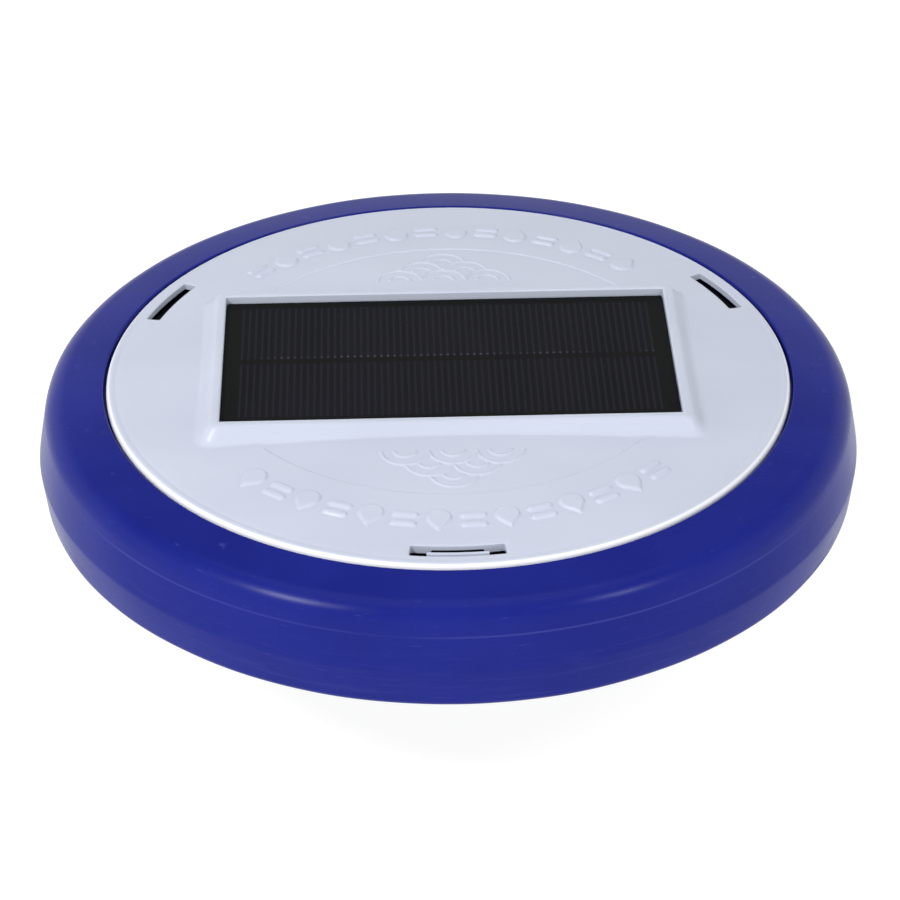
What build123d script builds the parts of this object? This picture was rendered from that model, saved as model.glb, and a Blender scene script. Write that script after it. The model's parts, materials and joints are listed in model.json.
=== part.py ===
from build123d import *

import os
from math import asin, cos, degrees, radians, sin, sqrt

os.makedirs("parts", exist_ok=True)

# A solar ioniser that floats in a pool. The Z axis is its centre line, Z = 0 is the
# foot of the electrode basket, and the solar panel is on top with its long side
# along X. All sizes are in millimetres.

# Top cover, which sets the sizes of what surrounds it
cover_radius = 128.5
cover_skin = 2.6
cover_edge_height = 0.5
cover_crown = 5.5
cover_ledge_depth = 3.4
cover_rim_wall = 2.6
cover_rim_round = 3.2
cover_field_radius = 88.0
cover_field_recess = 0.4
cover_edge_gap = 1.1
window_inset = 8.3
window_width = 5.4
front_window_length = 33.5
rear_window_length = 29.5
rear_window_angle = 27.0
latch_angle = -90.0
window_collar_wall = 1.6
window_collar_depth = 3.3
window_notch_length = 18.6
window_notch_depth = 1.9

# Float ring, two shells welded at a parting line
float_ring_width = 25.9
float_ledge_width = 4.0
float_height = 41.5
float_wall = 2.5
float_top_fall = 3.0
float_shoulder_inset = 3.5
float_shoulder_round = 10.0
float_lip_round = 0.6
float_seam_depth = 21.5
float_seam_swell = 0.7
float_swell_height = 4.0
float_swell_round = 6.0
float_foot_inset = 1.7
float_foot_round = 3.2
weld_skirt_height = 4.0
weld_skirt_thickness = 1.4
weld_gap = 0.4

# Solar panel and the raised frame around it
panel_length = 168.4
panel_width = 87.6
panel_gap = 0.3
panel_side_gap = 1.0
panel_height = 5.8
frame_rise = 2.6
frame_top_width = 3.4
frame_slope_run = 6.0
frame_corner = 2.5
plinth_corner = 6.0
tray_floor = 2.0
adhesive_thickness = 0.8
backplate_thickness = 1.6
laminate_thickness = 1.4
cell_count = 12
cell_end_margin = 6.2
cell_side_margin = 4.8
cell_gap = 0.3
cell_thickness = 0.3
ribbon_width = 1.6
ribbon_thickness = 0.15

# Raised ornament on the cover: drops and ripples in two arcs, and two fans of waves
ornament_count = 14
ornament_inset = 25.0
ornament_spread = 88.0
ornament_drop_length = 12.0
ornament_drop_width = 9.2
ornament_ripple_length = 9.6
ornament_ripple_width = 3.2
ornament_ripple_spacing = 4.9
ornament_relief = 0.9
wave_rows = 3
wave_radius = 9.3
wave_row_step = 7.0
wave_line = 1.4
wave_distance = 61.0
wave_relief = 0.5

# Base dish and its closures
dish_floor = 2.5
dish_wall = 2.5
dish_flange_width = 8.7
dish_bore_gap = 0.5
channel_width = 9.0
gasket_thickness = 1.5
gasket_width = 3.5
gasket_squeeze = 0.6
land_margin = 1.0
drain_radius = 2.0
drain_count = 18
tongue_width = 22.0
tongue_thickness = 2.0
tongue_drop = 0.5
tongue_barb = 1.8
tongue_barb_reach = 2.0
tongue_root_depth = 18.0
dish_rib_count = 12
dish_rib_height = 1.2
dish_rib_gap = 3.0

# Screws that hold the cover to the dish
screw_count = 6
screw_circle_inset = 28.5
screw_circle_start = 30.0
screw_radius = 1.5
screw_hole_gap = 0.2
screw_end_gap = 2.0
screw_floor = 2.0
screw_slot_length = 3.6
screw_slot_width = 0.9
screw_slot_depth = 1.4
screw_head_radius = 3.2
screw_head_height = 2.4
screw_length = 14.0
screw_gap = 0.06
head_gap = 0.4
boss_radius = 4.5
boss_drop = 20.0
post_radius = 5.0

# Electrode bolt and the stack that it clamps
bolt_radius = 4.0
bolt_head_height = 5.3
hex_across_flats = 13.0
bolt_chamfer = 0.8
bolt_end_gap = 1.5
nut_height = 4.0
washer_radius = 8.0
washer_thickness = 1.6
seal_thickness = 1.2
terminal_thickness = 0.8
terminal_ring_inset = 0.5
terminal_tail = 16.0
terminal_tail_width = 4.0
fit_gap = 0.1
thread_gap = 0.05
spacer_height = 4.0
spacer_radius = 15.0
anode_height = 34.0
anode_radius = 17.5
anode_round = 1.5

# Cathode spring
spring_radius = 26.0
spring_wire_radius = 0.8
spring_pitch = 5.0
spring_turns = 7.25
spring_top_gap = 0.05
cathode_screw_radius = 2.0
cathode_head_height = 1.6
cathode_washer_thickness = 0.6
cathode_nut_height = 3.2
cathode_nut_flats = 7.0
cathode_head_overlap = 2.0
cathode_washer_overlap = 2.4
cathode_thread_end = 1.0
cathode_tail = 10.0
cathode_tail_width = 3.0

# Basket and knob
basket_top_radius = 46.0
basket_foot_radius = 42.0
basket_wall = 2.0
basket_flange_width = 4.0
basket_flange_thickness = 2.0
basket_seat_gap = 0.3
basket_floor = 2.4
basket_foot_round = 1.0
basket_hub_round = 0.8
basket_slot_count = 28
basket_slot_width = 3.0
basket_slot_end = 6.0
basket_foot_slot_count = 24
basket_foot_slot_length = 8.0
hub_recess_radius = 26.0
hub_gap = 1.5
hub_slot_count = 12
hub_slot_edge = 1.0
hub_slot_washer_gap = 3.0
spigot_wall = 2.0
spigot_height = 3.0
spigot_gap = 0.32
hub_bore_gap = 0.5
knob_radius = 14.0
knob_height = 11.0
knob_foot_gap = 1.5
knob_chamfer = 0.8
knob_lobe_count = 6
knob_lobe_radius = 3.4
insert_radius = 6.0
insert_depth = 9.0
washer_plate_radius = 12.0
running_gap = 0.3

# Control board and wiring
board_length = 56.0
board_width = 44.0
board_thickness = 1.6
board_centre_x = 52.0
board_standoff = 8.0
board_screw_inset = 4.0
board_screw_radius = 1.4
board_screw_end_gap = 1.0
board_head_radius = 2.6
board_head_height = 1.8
standoff_wall = 1.8
component_row = 9.0
chip_size = 9.0
chip_height = 1.8
chip_offset = 4.0
capacitor_radius = 4.0
capacitor_height = 12.0
capacitor_offsets = (8.0, 19.0)
block_length = 24.0
block_depth = 9.0
block_height = 10.0
block_inset = 1.5
pole_count = 4
pole_pitch = 6.0
pole_radius = 1.8
pole_depth = 2.0
diode_radius = 2.4
diode_length = 8.0
diode_offset = 18.0
diode_lead_span = 12.0
diode_lead_radius = 0.5
diode_foot = 1.2
wire_radius = 0.9
grommet_place = (-24.0, -22.0)
grommet_radius = 4.0
grommet_flange_radius = 5.6
grommet_flange_thickness = 1.5
lead_spacing = 4.0
lead_entry_rise = 4.0
lead_drop = 11.0
lead_crest_rise = 6.0
lead_crest_rows = (-18.0, -11.0)
lead_turn_x = 17.0
lead_bends = (5.0, 12.0, 6.0)
anode_lead_run = 4.5
anode_lead_lean = 1.0
cathode_lead_run = 6.0
cathode_lead_lean = 2.0
cathode_lead_step = 7.0
cathode_lead_turn = 1.5
short_bend = 3.0
long_bend = 5.0

# How closely an edge's radius must match when it is picked out
match = 0.01

# Radii that follow the cover
float_radius = cover_radius + float_ring_width
float_bore_radius = cover_radius - float_ledge_width
dish_flange_radius = float_bore_radius + dish_flange_width
window_radius = cover_radius - window_inset
ornament_radius = cover_radius - ornament_inset
screw_circle_radius = cover_radius - screw_circle_inset
basket_flange_radius = basket_top_radius + basket_flange_width

# Heights, built up from the foot of the basket
knob_low = knob_foot_gap
knob_top = knob_low + knob_height
plate_top = knob_top + washer_thickness
hub_top = plate_top + basket_floor
nut_low = hub_top + hub_gap
anode_low = nut_low + nut_height + washer_thickness
anode_top = anode_low + anode_height
base = anode_top + spacer_height
floor_top = base + dish_floor
seat = base + float_height
ledge = seat - cover_ledge_depth
seam = seat - float_seam_depth

# The cover's top is a shallow dome: crown height above its edge, on one large arc
cover_edge = seat + cover_edge_height
dome_radius = (cover_radius**2 + cover_crown**2) / (2 * cover_crown)
dome_centre = cover_edge + cover_crown - dome_radius


def dome(radius, offset=0.0):
    """Height of the cover's top surface at a radius, moved by an offset."""
    return dome_centre + sqrt(dome_radius**2 - radius**2) + offset


def ring(outer, inner, low, high, mode=Mode.ADD):
    """A flat ring about the centre line between two heights."""
    with BuildSketch(Plane.XY.offset(low)) as section:
        Circle(outer)
        if inner > 0:
            Circle(inner, mode=Mode.SUBTRACT)
    extrude(section.sketch, amount=high - low, mode=mode)


def turned(outline, rounds, mode=Mode.ADD):
    """A body turned about the centre line from a closed (radius, height) outline."""
    with BuildSketch(Plane.XZ) as section:
        with BuildLine():
            FilletPolyline(*outline, radius=rounds, close=True)
        make_face()
    revolve(section.sketch, axis=Axis.Z, mode=mode)


def sector(angle, sweep, inner, outer, low, high, mode=Mode.ADD):
    """A curved block: part of a ring, centred on an angle about the centre line."""
    start = radians(angle - sweep / 2)
    upright = Plane(
        origin=(0, 0, 0), x_dir=(cos(start), sin(start), 0), z_dir=(sin(start), -cos(start), 0)
    )
    with BuildSketch(upright) as section:
        with Locations(((inner + outer) / 2, (low + high) / 2)):
            Rectangle(outer - inner, high - low)
    revolve(section.sketch, axis=Axis.Z, revolution_arc=sweep, mode=mode)


def spots(places, radius, low, high, mode=Mode.ADD):
    """Round bosses or holes at a list of (x, y) places between two heights."""
    with BuildSketch(Plane.XY.offset(low)) as section:
        with Locations(*places):
            Circle(radius)
    extrude(section.sketch, amount=high - low, mode=mode)


def hexagon(places, flats, low, high, mode=Mode.ADD):
    """Hexagonal heads or nuts at a list of (x, y) places between two heights."""
    with BuildSketch(Plane.XY.offset(low)) as section:
        with Locations(*places):
            RegularPolygon(flats / 2, 6, major_radius=False)
    extrude(section.sketch, amount=high - low, mode=mode)


def block(places, length, width, low, high, mode=Mode.ADD):
    """Upright blocks, centred on a list of (x, y) places, between two heights."""
    with BuildSketch(Plane.XY.offset(low)) as section:
        with Locations(*places):
            Rectangle(length, width)
    extrude(section.sketch, amount=high - low, mode=mode)


def around(radius, count, start=0.0):
    """Places evenly spaced on a circle."""
    turns = [radians(start + 360 * index / count) for index in range(count)]
    return [(radius * cos(turn), radius * sin(turn)) for turn in turns]


def save(piece, label):
    """Name a finished piece and write it as its own STEP file."""
    piece.part.label = label
    export_step(piece.part, f"parts/{label}.step")


# ---------------------------------------------------------------- float ring

recess_radius = cover_radius + cover_edge_gap
shoulder_radius = float_radius - float_shoulder_inset
lip_radius = float_radius + float_seam_swell
swell_low = seam - float_swell_height
foot_radius = lip_radius - float_foot_inset
pocket_radius = dish_flange_radius + running_gap
pocket_top = base + dish_floor
inner_wall = float_bore_radius + float_wall
outer_wall = float_radius - float_wall
shoulder_inside = shoulder_radius - float_wall
shoulder_ceiling = seat - float_top_fall - float_wall
# The two shells lap at the weld: a skirt on the upper shell drops inside the lower
skirt_low = seam - weld_skirt_height
skirt_high = seam + weld_skirt_height

with BuildPart() as float_upper_shell:
    turned(
        [
            (float_bore_radius, seam),
            (float_bore_radius, ledge),
            (recess_radius, ledge),
            (recess_radius, seat),
            (shoulder_radius, seat - float_top_fall),
            (float_radius, seam),
        ],
        [0, 0, 0, float_lip_round, float_shoulder_round, 0],
    )
    turned(
        [
            (inner_wall, seam),
            (inner_wall, ledge - float_wall),
            (recess_radius + float_wall, ledge - float_wall),
            (recess_radius + float_wall, seat - float_wall),
            (shoulder_inside, shoulder_ceiling),
            (outer_wall, seam),
        ],
        [0, 0, 0, 0, float_shoulder_round - float_wall, 0],
        mode=Mode.SUBTRACT,
    )
    ring(inner_wall + weld_skirt_thickness, inner_wall - fit_gap, seam, skirt_high)
    ring(inner_wall + weld_skirt_thickness, inner_wall + fit_gap, skirt_low, seam)
    ring(outer_wall + fit_gap, outer_wall - weld_skirt_thickness, seam, skirt_high)
    ring(outer_wall - weld_gap, outer_wall - weld_skirt_thickness, skirt_low, seam)
save(float_upper_shell, "float_upper_shell")

with BuildPart() as float_lower_shell:
    turned(
        [
            (float_bore_radius, seam),
            (float_radius, seam),
            (lip_radius, swell_low),
            (foot_radius, base),
            (pocket_radius, base),
            (pocket_radius, pocket_top),
            (float_bore_radius, pocket_top),
        ],
        [0, 0, float_swell_round, float_foot_round, 0, 0, 0],
    )
    turned(
        [
            (inner_wall, seam),
            (outer_wall, seam),
            (foot_radius - float_wall, base + float_wall),
            (pocket_radius + float_wall, base + float_wall),
            (pocket_radius + float_wall, pocket_top + float_wall),
            (inner_wall, pocket_top + float_wall),
        ],
        [0, 0, float_foot_round / 2, 0, 0, 0],
        mode=Mode.SUBTRACT,
    )
save(float_lower_shell, "float_lower_shell")

# ---------------------------------------------------------------- top cover

panel_top = seat + panel_height
frame_top = panel_top + frame_rise
tray_top = panel_top - laminate_thickness - backplate_thickness - adhesive_thickness
tray_low = tray_top - tray_floor
pocket_length = panel_length + 2 * panel_gap
pocket_width = panel_width + 2 * panel_side_gap
frame_length = pocket_length + 2 * frame_top_width
frame_width = pocket_width + 2 * frame_top_width
plinth_length = frame_length + 2 * frame_slope_run
plinth_width = frame_width + 2 * frame_slope_run
plinth_low = dome(plinth_length / 2, -cover_skin)
dish_inner_radius = float_bore_radius - dish_bore_gap - dish_wall
gasket_outer = dish_inner_radius - channel_width + gasket_width - dish_wall
gasket_inner = gasket_outer - gasket_width
skin_low_edge = cover_edge - cover_skin
gasket_high = skin_low_edge - gasket_squeeze
screw_places = around(screw_circle_radius, screw_count, screw_circle_start)
front_sweep = degrees(front_window_length / window_radius)
rear_sweep = degrees(rear_window_length / window_radius)
window_sweeps = {
    latch_angle: front_sweep,
    rear_window_angle: rear_sweep,
    180.0 - rear_window_angle: rear_sweep,
}


def dome_layer(offset_low, offset_high, inner, outer, mode=Mode.ADD):
    """The layer between two copies of the dome, from an inner to an outer radius."""
    with BuildSketch(Plane.XZ) as section:
        with BuildLine():
            bend = (inner + outer) / 2
            low_start = (inner, dome(inner, offset_low))
            low_end = (outer, dome(outer, offset_low))
            high_start = (inner, dome(inner, offset_high))
            high_end = (outer, dome(outer, offset_high))
            ThreePointArc(low_start, (bend, dome(bend, offset_low)), low_end)
            Line(low_end, high_end)
            ThreePointArc(high_end, (bend, dome(bend, offset_high)), high_start)
            Line(high_start, low_start)
        make_face()
    revolve(section.sketch, axis=Axis.Z, mode=mode)


# Drops and ripples by turns, in one arc behind the panel and one in front of it
with BuildPart() as ornaments:
    with BuildSketch(mode=Mode.PRIVATE) as one_drop:
        with BuildLine():
            nose = ornament_drop_width / 2
            back = nose - ornament_drop_length / 2
            flank = asin(nose / (ornament_drop_length - nose))
            side = back + nose * sin(flank)
            half = nose * cos(flank)
            Line((ornament_drop_length / 2, 0), (side, half))
            ThreePointArc((side, half), (-ornament_drop_length / 2, 0), (side, -half))
            Line((side, -half), (ornament_drop_length / 2, 0))
        make_face()
    with BuildSketch(mode=Mode.PRIVATE) as one_ripple:
        with GridLocations(ornament_ripple_spacing, 0, 2, 1):
            SlotOverall(ornament_ripple_length, ornament_ripple_width, rotation=90)
    with BuildSketch(Plane.XY.offset(seat)):
        for middle in (90.0, 270.0):
            for index in range(ornament_count):
                step = ornament_spread / (ornament_count - 1)
                angle = middle - ornament_spread / 2 + index * step
                with PolarLocations(ornament_radius, 1, angle):
                    add(one_ripple.sketch if index % 2 else one_drop.sketch)
    extrude(amount=cover_crown + cover_edge_height + ornament_relief)
    dome_layer(
        -cover_skin / 2,
        ornament_relief,
        cover_field_radius,
        cover_radius - cover_rim_wall,
        mode=Mode.INTERSECT,
    )

# A fan of waves as a raised line, behind and in front of the panel: rows of half
# rings, each row one shorter than the last and half hidden by the row before it
with BuildPart() as waves:
    with BuildSketch(Plane.XY.offset(seat)):
        for row in reversed(range(wave_rows)):
            scales = wave_rows - row
            low_line = wave_distance + row * wave_row_step
            with Locations((0, low_line)):
                with GridLocations(2 * wave_radius - wave_line, 0, scales, 1):
                    Circle(wave_radius)
                    Circle(wave_radius - wave_line, mode=Mode.SUBTRACT)
                    Circle(wave_radius / 2)
                    Circle(wave_radius / 2 - wave_line, mode=Mode.SUBTRACT)
            with Locations((0, low_line - wave_radius)):
                Rectangle(2 * wave_rows * wave_radius, 2 * wave_radius, mode=Mode.SUBTRACT)
        mirror(about=Plane.XZ)
    extrude(amount=cover_crown + cover_edge_height + wave_relief)
    dome_layer(
        -cover_skin / 2,
        wave_relief - cover_field_recess,
        wave_distance - wave_radius,
        cover_field_radius,
        mode=Mode.INTERSECT,
    )

with BuildPart() as top_cover:
    # Domed skin with a rounded edge and a skirt that stands on the float's ledge
    with BuildSketch(Plane.XZ):
        with BuildLine():
            ThreePointArc(
                (0, dome(0)),
                (cover_field_radius, dome(cover_field_radius)),
                (cover_radius, cover_edge),
            )
            Line((cover_radius, cover_edge), (cover_radius, ledge))
            Line((cover_radius, ledge), (cover_radius - cover_rim_wall, ledge))
            Line(
                (cover_radius - cover_rim_wall, ledge),
                (cover_radius - cover_rim_wall, skin_low_edge),
            )
            ThreePointArc(
                (cover_radius - cover_rim_wall, skin_low_edge),
                (cover_field_radius, dome(cover_field_radius, -cover_skin)),
                (0, dome(0, -cover_skin)),
            )
            Line((0, dome(0, -cover_skin)), (0, dome(0)))
        make_face()
    revolve(axis=Axis.Z)
    dome_layer(-cover_field_recess, frame_rise, 0.0, cover_field_radius, Mode.SUBTRACT)
    fillet(
        top_cover.edges()
        .filter_by(GeomType.CIRCLE)
        .filter_by(lambda edge: abs(edge.radius - cover_radius) < match)
        .sort_by(Axis.Z)[-1],
        radius=cover_rim_round,
    )
    # Raised frame with sloping sides, and the tray that holds the panel
    with BuildSketch(Plane.XY.offset(plinth_low)):
        RectangleRounded(plinth_length, plinth_width, plinth_corner)
    with BuildSketch(Plane.XY.offset(frame_top)):
        RectangleRounded(frame_length, frame_width, frame_corner)
    loft()
    block(
        [(0, 0)],
        pocket_length + 2 * tray_floor,
        pocket_width + 2 * tray_floor,
        tray_low,
        panel_top,
    )
    add(ornaments.part)
    add(waves.part)
    block([(0, 0)], pocket_length, pocket_width, tray_top, frame_top, Mode.SUBTRACT)
    # Land that presses on the gasket, and the bosses for the screws
    land_high = dome(gasket_outer, -cover_skin / 2)
    boss_high = dome(screw_circle_radius, -cover_skin / 2)
    ring(gasket_outer + land_margin, gasket_inner - land_margin, gasket_high, land_high)
    spots(screw_places, boss_radius, seat - boss_drop, boss_high)
    spots(
        screw_places,
        screw_radius + screw_gap,
        seat - boss_drop,
        seat - boss_drop + screw_length,
        Mode.SUBTRACT,
    )
    spots([grommet_place], grommet_radius + fit_gap, tray_low, tray_top, Mode.SUBTRACT)
    # A collar behind the front window, notched where the latch passes, and three
    # curved windows
    collar_radius = window_radius - window_width / 2
    notch_sweep = degrees(window_notch_length / collar_radius)
    collar_high = dome(collar_radius)
    sector(
        latch_angle,
        front_sweep,
        collar_radius - window_collar_wall,
        collar_radius,
        collar_high - window_collar_depth,
        collar_high - cover_skin / 2,
    )
    sector(
        latch_angle,
        notch_sweep,
        collar_radius - window_collar_wall,
        collar_radius,
        collar_high - window_collar_depth,
        collar_high - window_notch_depth,
        Mode.SUBTRACT,
    )
    for angle, span in window_sweeps.items():
        sector(
            angle,
            span,
            window_radius - window_width / 2,
            window_radius + window_width / 2,
            ledge,
            cover_edge + cover_crown,
            Mode.SUBTRACT,
        )
save(top_cover, "top_cover")

# ---------------------------------------------------------------- solar panel

with BuildPart() as panel_adhesive:
    block([(0, 0)], panel_length, panel_width, tray_top, tray_top + adhesive_thickness)
    spots(
        [grommet_place],
        grommet_flange_radius,
        tray_top,
        tray_top + adhesive_thickness,
        Mode.SUBTRACT,
    )
save(panel_adhesive, "panel_adhesive")

backplate_low = tray_top + adhesive_thickness
cell_low = backplate_low + backplate_thickness
ribbon_low = cell_low + cell_thickness
cell_pocket_high = ribbon_low + ribbon_thickness + fit_gap
cell_area_length = panel_length - 2 * cell_end_margin
cell_area_width = panel_width - 2 * cell_side_margin
cell_pitch = cell_area_length / cell_count
cell_places = [
    ((index - (cell_count - 1) / 2) * cell_pitch, 0) for index in range(cell_count)
]

with BuildPart() as panel_backplate:
    block([(0, 0)], panel_length, panel_width, backplate_low, cell_low)
save(panel_backplate, "panel_backplate")

with BuildPart() as solar_cells:
    block(cell_places, cell_pitch - cell_gap, cell_area_width, cell_low, ribbon_low)
save(solar_cells, "solar_cells")

with BuildPart() as cell_ribbon:
    block(
        [(0, 0)], cell_area_length, ribbon_width, ribbon_low, ribbon_low + ribbon_thickness
    )
save(cell_ribbon, "cell_ribbon")

with BuildPart() as panel_laminate:
    block([(0, 0)], panel_length, panel_width, cell_low, panel_top)
    block(
        [(0, 0)],
        cell_area_length + 2 * fit_gap,
        cell_area_width + 2 * fit_gap,
        cell_low,
        cell_pocket_high,
        Mode.SUBTRACT,
    )
save(panel_laminate, "panel_laminate")

# ---------------------------------------------------------------- base dish

channel_outer = float_bore_radius - dish_bore_gap - dish_wall
channel_inner = channel_outer - channel_width
chamber_radius = channel_inner - dish_wall
gasket_low = gasket_high - gasket_thickness
dish_wall_high = ledge - cover_edge_gap
post_high = seat - boss_drop
head_low = post_high - screw_floor - screw_head_height
bolt_seat = floor_top + seal_thickness
basket_top = base - basket_seat_gap
basket_taper = (basket_top_radius - basket_foot_radius) / (basket_top - basket_floor)
spigot_depth = spigot_height - basket_seat_gap
basket_bore_at_spigot = basket_top_radius - basket_wall - basket_taper * spigot_depth
spigot_outer = basket_bore_at_spigot - spigot_gap
cathode_place = (0, spring_radius)
standoff_high = floor_top + board_standoff
board_places = [
    (
        board_centre_x + side_x * (board_length / 2 - board_screw_inset),
        side_y * (board_width / 2 - board_screw_inset),
    )
    for side_x in (-1, 1)
    for side_y in (-1, 1)
]

with BuildPart() as base_dish:
    ring(dish_flange_radius, 0, base, floor_top)
    ring(channel_outer + dish_wall, channel_outer, base, dish_wall_high)
    ring(channel_inner, chamber_radius, base, gasket_low)
    spots(screw_places, post_radius, base, post_high)
    spots(board_places, board_screw_radius + standoff_wall, base, standoff_high)
    ring(spigot_outer, spigot_outer - spigot_wall, base - spigot_height, base)
    # Ribs under the floor, between the basket and the screws
    rib_inner = basket_flange_radius + dish_rib_gap
    rib_length = chamber_radius - rib_inner
    with BuildSketch(Plane.XY.offset(base - dish_rib_height)):
        with PolarLocations(rib_inner + rib_length / 2, dish_rib_count, 180 / dish_rib_count):
            Rectangle(rib_length, dish_wall)
        Circle(rib_inner + dish_wall)
        Circle(rib_inner, mode=Mode.SUBTRACT)
    extrude(amount=dish_rib_height)
    # Holes for the screws, the drains of the channel, the bolt and the cathode screw
    spots(
        screw_places,
        screw_head_radius + head_gap,
        base,
        head_low + screw_head_height,
        Mode.SUBTRACT,
    )
    spots(screw_places, screw_radius + screw_hole_gap, base, post_high, Mode.SUBTRACT)
    spots(
        around((channel_outer + channel_inner) / 2, drain_count, 180 / drain_count),
        drain_radius,
        base,
        floor_top,
        Mode.SUBTRACT,
    )
    spots(
        board_places,
        board_screw_radius + thread_gap,
        floor_top,
        standoff_high,
        Mode.SUBTRACT,
    )
    spots([(0, 0)], bolt_radius + fit_gap, base, floor_top, Mode.SUBTRACT)
    spots([cathode_place], cathode_screw_radius + fit_gap, base, floor_top, Mode.SUBTRACT)
save(base_dish, "base_dish")

# The latch lies against the channel's outer wall, and its barb hooks under the cover
tongue_inner = channel_outer - tongue_thickness
tongue_sweep = degrees(tongue_width / channel_outer)
barb_high = dome(channel_outer + tongue_barb_reach, -cover_skin) - running_gap

with BuildPart() as cover_latch:
    sector(
        latch_angle,
        tongue_sweep,
        tongue_inner,
        channel_outer,
        dish_wall_high - tongue_root_depth,
        dome(channel_outer) - tongue_drop,
    )
    sector(
        latch_angle,
        tongue_sweep,
        channel_outer - tongue_thickness / 2,
        channel_outer + tongue_barb_reach,
        barb_high - tongue_barb,
        barb_high,
    )
save(cover_latch, "cover_latch")

with BuildPart() as housing_gasket:
    ring(gasket_outer, gasket_inner, gasket_low, gasket_high)
save(housing_gasket, "housing_gasket")

with BuildPart() as dish_screws:
    spots(screw_places, screw_head_radius, head_low, head_low + screw_head_height)
    spots(
        screw_places,
        screw_radius,
        head_low + screw_head_height,
        seat - boss_drop + screw_length - screw_end_gap,
    )
    with BuildSketch(Plane.XY.offset(head_low)):
        with Locations(*screw_places):
            Rectangle(screw_slot_length, screw_slot_width)
            Rectangle(screw_slot_width, screw_slot_length)
    extrude(amount=screw_slot_depth, mode=Mode.SUBTRACT)
save(dish_screws, "dish_screws")

# ---------------------------------------------------------------- electrodes

head_bottom = bolt_seat + terminal_thickness + washer_thickness
bolt_low = knob_top - insert_depth + bolt_end_gap

with BuildPart() as electrode_bolt:
    hexagon([(0, 0)], hex_across_flats, head_bottom, head_bottom + bolt_head_height)
    ring(bolt_radius, 0, bolt_low, head_bottom)
    chamfer(electrode_bolt.faces().sort_by(Axis.Z)[0].edges(), length=bolt_chamfer)
save(electrode_bolt, "electrode_bolt")

with BuildPart() as bolt_seal:
    ring(washer_radius, bolt_radius + fit_gap, floor_top, bolt_seat)
save(bolt_seal, "bolt_seal")

# A ring terminal with a tail for its wire
with BuildPart() as anode_terminal:
    with BuildSketch(Plane.XY.offset(bolt_seat)):
        Circle(washer_radius - terminal_ring_inset)
        with Locations((terminal_tail / 2, 0)):
            Rectangle(terminal_tail, terminal_tail_width)
        Circle(bolt_radius + fit_gap, mode=Mode.SUBTRACT)
    extrude(amount=terminal_thickness)
save(anode_terminal, "anode_terminal")

with BuildPart() as bolt_washer:
    ring(
        washer_radius,
        bolt_radius + fit_gap,
        bolt_seat + terminal_thickness,
        head_bottom,
    )
save(bolt_washer, "bolt_washer")

with BuildPart() as insulator_spacer:
    ring(spacer_radius, bolt_radius + fit_gap, anode_top, base)
save(insulator_spacer, "insulator_spacer")

with BuildPart() as copper_anode:
    ring(anode_radius, bolt_radius + fit_gap, anode_low, anode_top)
    fillet(
        copper_anode.edges()
        .filter_by(GeomType.CIRCLE)
        .filter_by(lambda edge: abs(edge.radius - anode_radius) < match),
        radius=anode_round,
    )
save(copper_anode, "copper_anode")

with BuildPart() as anode_washer:
    ring(washer_radius, bolt_radius + fit_gap, anode_low - washer_thickness, anode_low)
save(anode_washer, "anode_washer")

with BuildPart() as anode_nut:
    hexagon([(0, 0)], hex_across_flats, nut_low, nut_low + nut_height)
    ring(bolt_radius + thread_gap, 0, nut_low, nut_low + nut_height, Mode.SUBTRACT)
save(anode_nut, "anode_nut")

# The cathode is a coiled stainless wire; its top end turns up under the floor
cathode_washer_low = base - cathode_washer_thickness
cathode_head_low = cathode_washer_low - cathode_head_height
spring_top = cathode_head_low - spring_wire_radius - spring_top_gap
spring_length = spring_turns * spring_pitch
spring_low = spring_top - spring_length
with BuildPart() as cathode_spring:
    with BuildLine(Plane.XY.offset(spring_low)) as coil:
        Helix(pitch=spring_pitch, height=spring_length, radius=spring_radius)
    with BuildSketch(Plane(origin=coil.wires()[0] @ 0, z_dir=coil.wires()[0] % 0)):
        Circle(spring_wire_radius)
    sweep(is_frenet=True)
save(cathode_spring, "cathode_spring")

cathode_nut_low = bolt_seat + terminal_thickness
cathode_nut_high = cathode_nut_low + cathode_nut_height
cathode_screw_high = cathode_nut_high + cathode_thread_end
terminal_middle = bolt_seat + terminal_thickness / 2
cathode_head_radius = cathode_screw_radius + cathode_head_overlap
cathode_washer_radius = cathode_screw_radius + cathode_washer_overlap

with BuildPart() as cathode_washer:
    spots([cathode_place], cathode_washer_radius, cathode_washer_low, base)
    spots([cathode_place], cathode_screw_radius + fit_gap, cathode_washer_low, base, Mode.SUBTRACT)
save(cathode_washer, "cathode_washer")

with BuildPart() as cathode_screw:
    spots([cathode_place], cathode_head_radius, cathode_head_low, cathode_washer_low)
    spots([cathode_place], cathode_screw_radius, cathode_washer_low, cathode_screw_high)
save(cathode_screw, "cathode_screw")

with BuildPart() as cathode_seal:
    spots([cathode_place], cathode_washer_radius, floor_top, bolt_seat)
    spots([cathode_place], cathode_screw_radius + fit_gap, floor_top, bolt_seat, Mode.SUBTRACT)
save(cathode_seal, "cathode_seal")

with BuildPart() as cathode_terminal:
    with BuildSketch(Plane.XY.offset(bolt_seat)):
        with Locations(cathode_place):
            Circle(cathode_head_radius)
        with Locations((cathode_tail / 2, spring_radius)):
            Rectangle(cathode_tail, cathode_tail_width)
        with Locations(cathode_place):
            Circle(cathode_screw_radius + fit_gap, mode=Mode.SUBTRACT)
    extrude(amount=terminal_thickness)
save(cathode_terminal, "cathode_terminal")

with BuildPart() as cathode_nut:
    hexagon([cathode_place], cathode_nut_flats, cathode_nut_low, cathode_nut_high)
    spots(
        [cathode_place],
        cathode_screw_radius + thread_gap,
        cathode_nut_low,
        cathode_nut_high,
        Mode.SUBTRACT,
    )
save(cathode_nut, "cathode_nut")

# ---------------------------------------------------------------- control board

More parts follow.
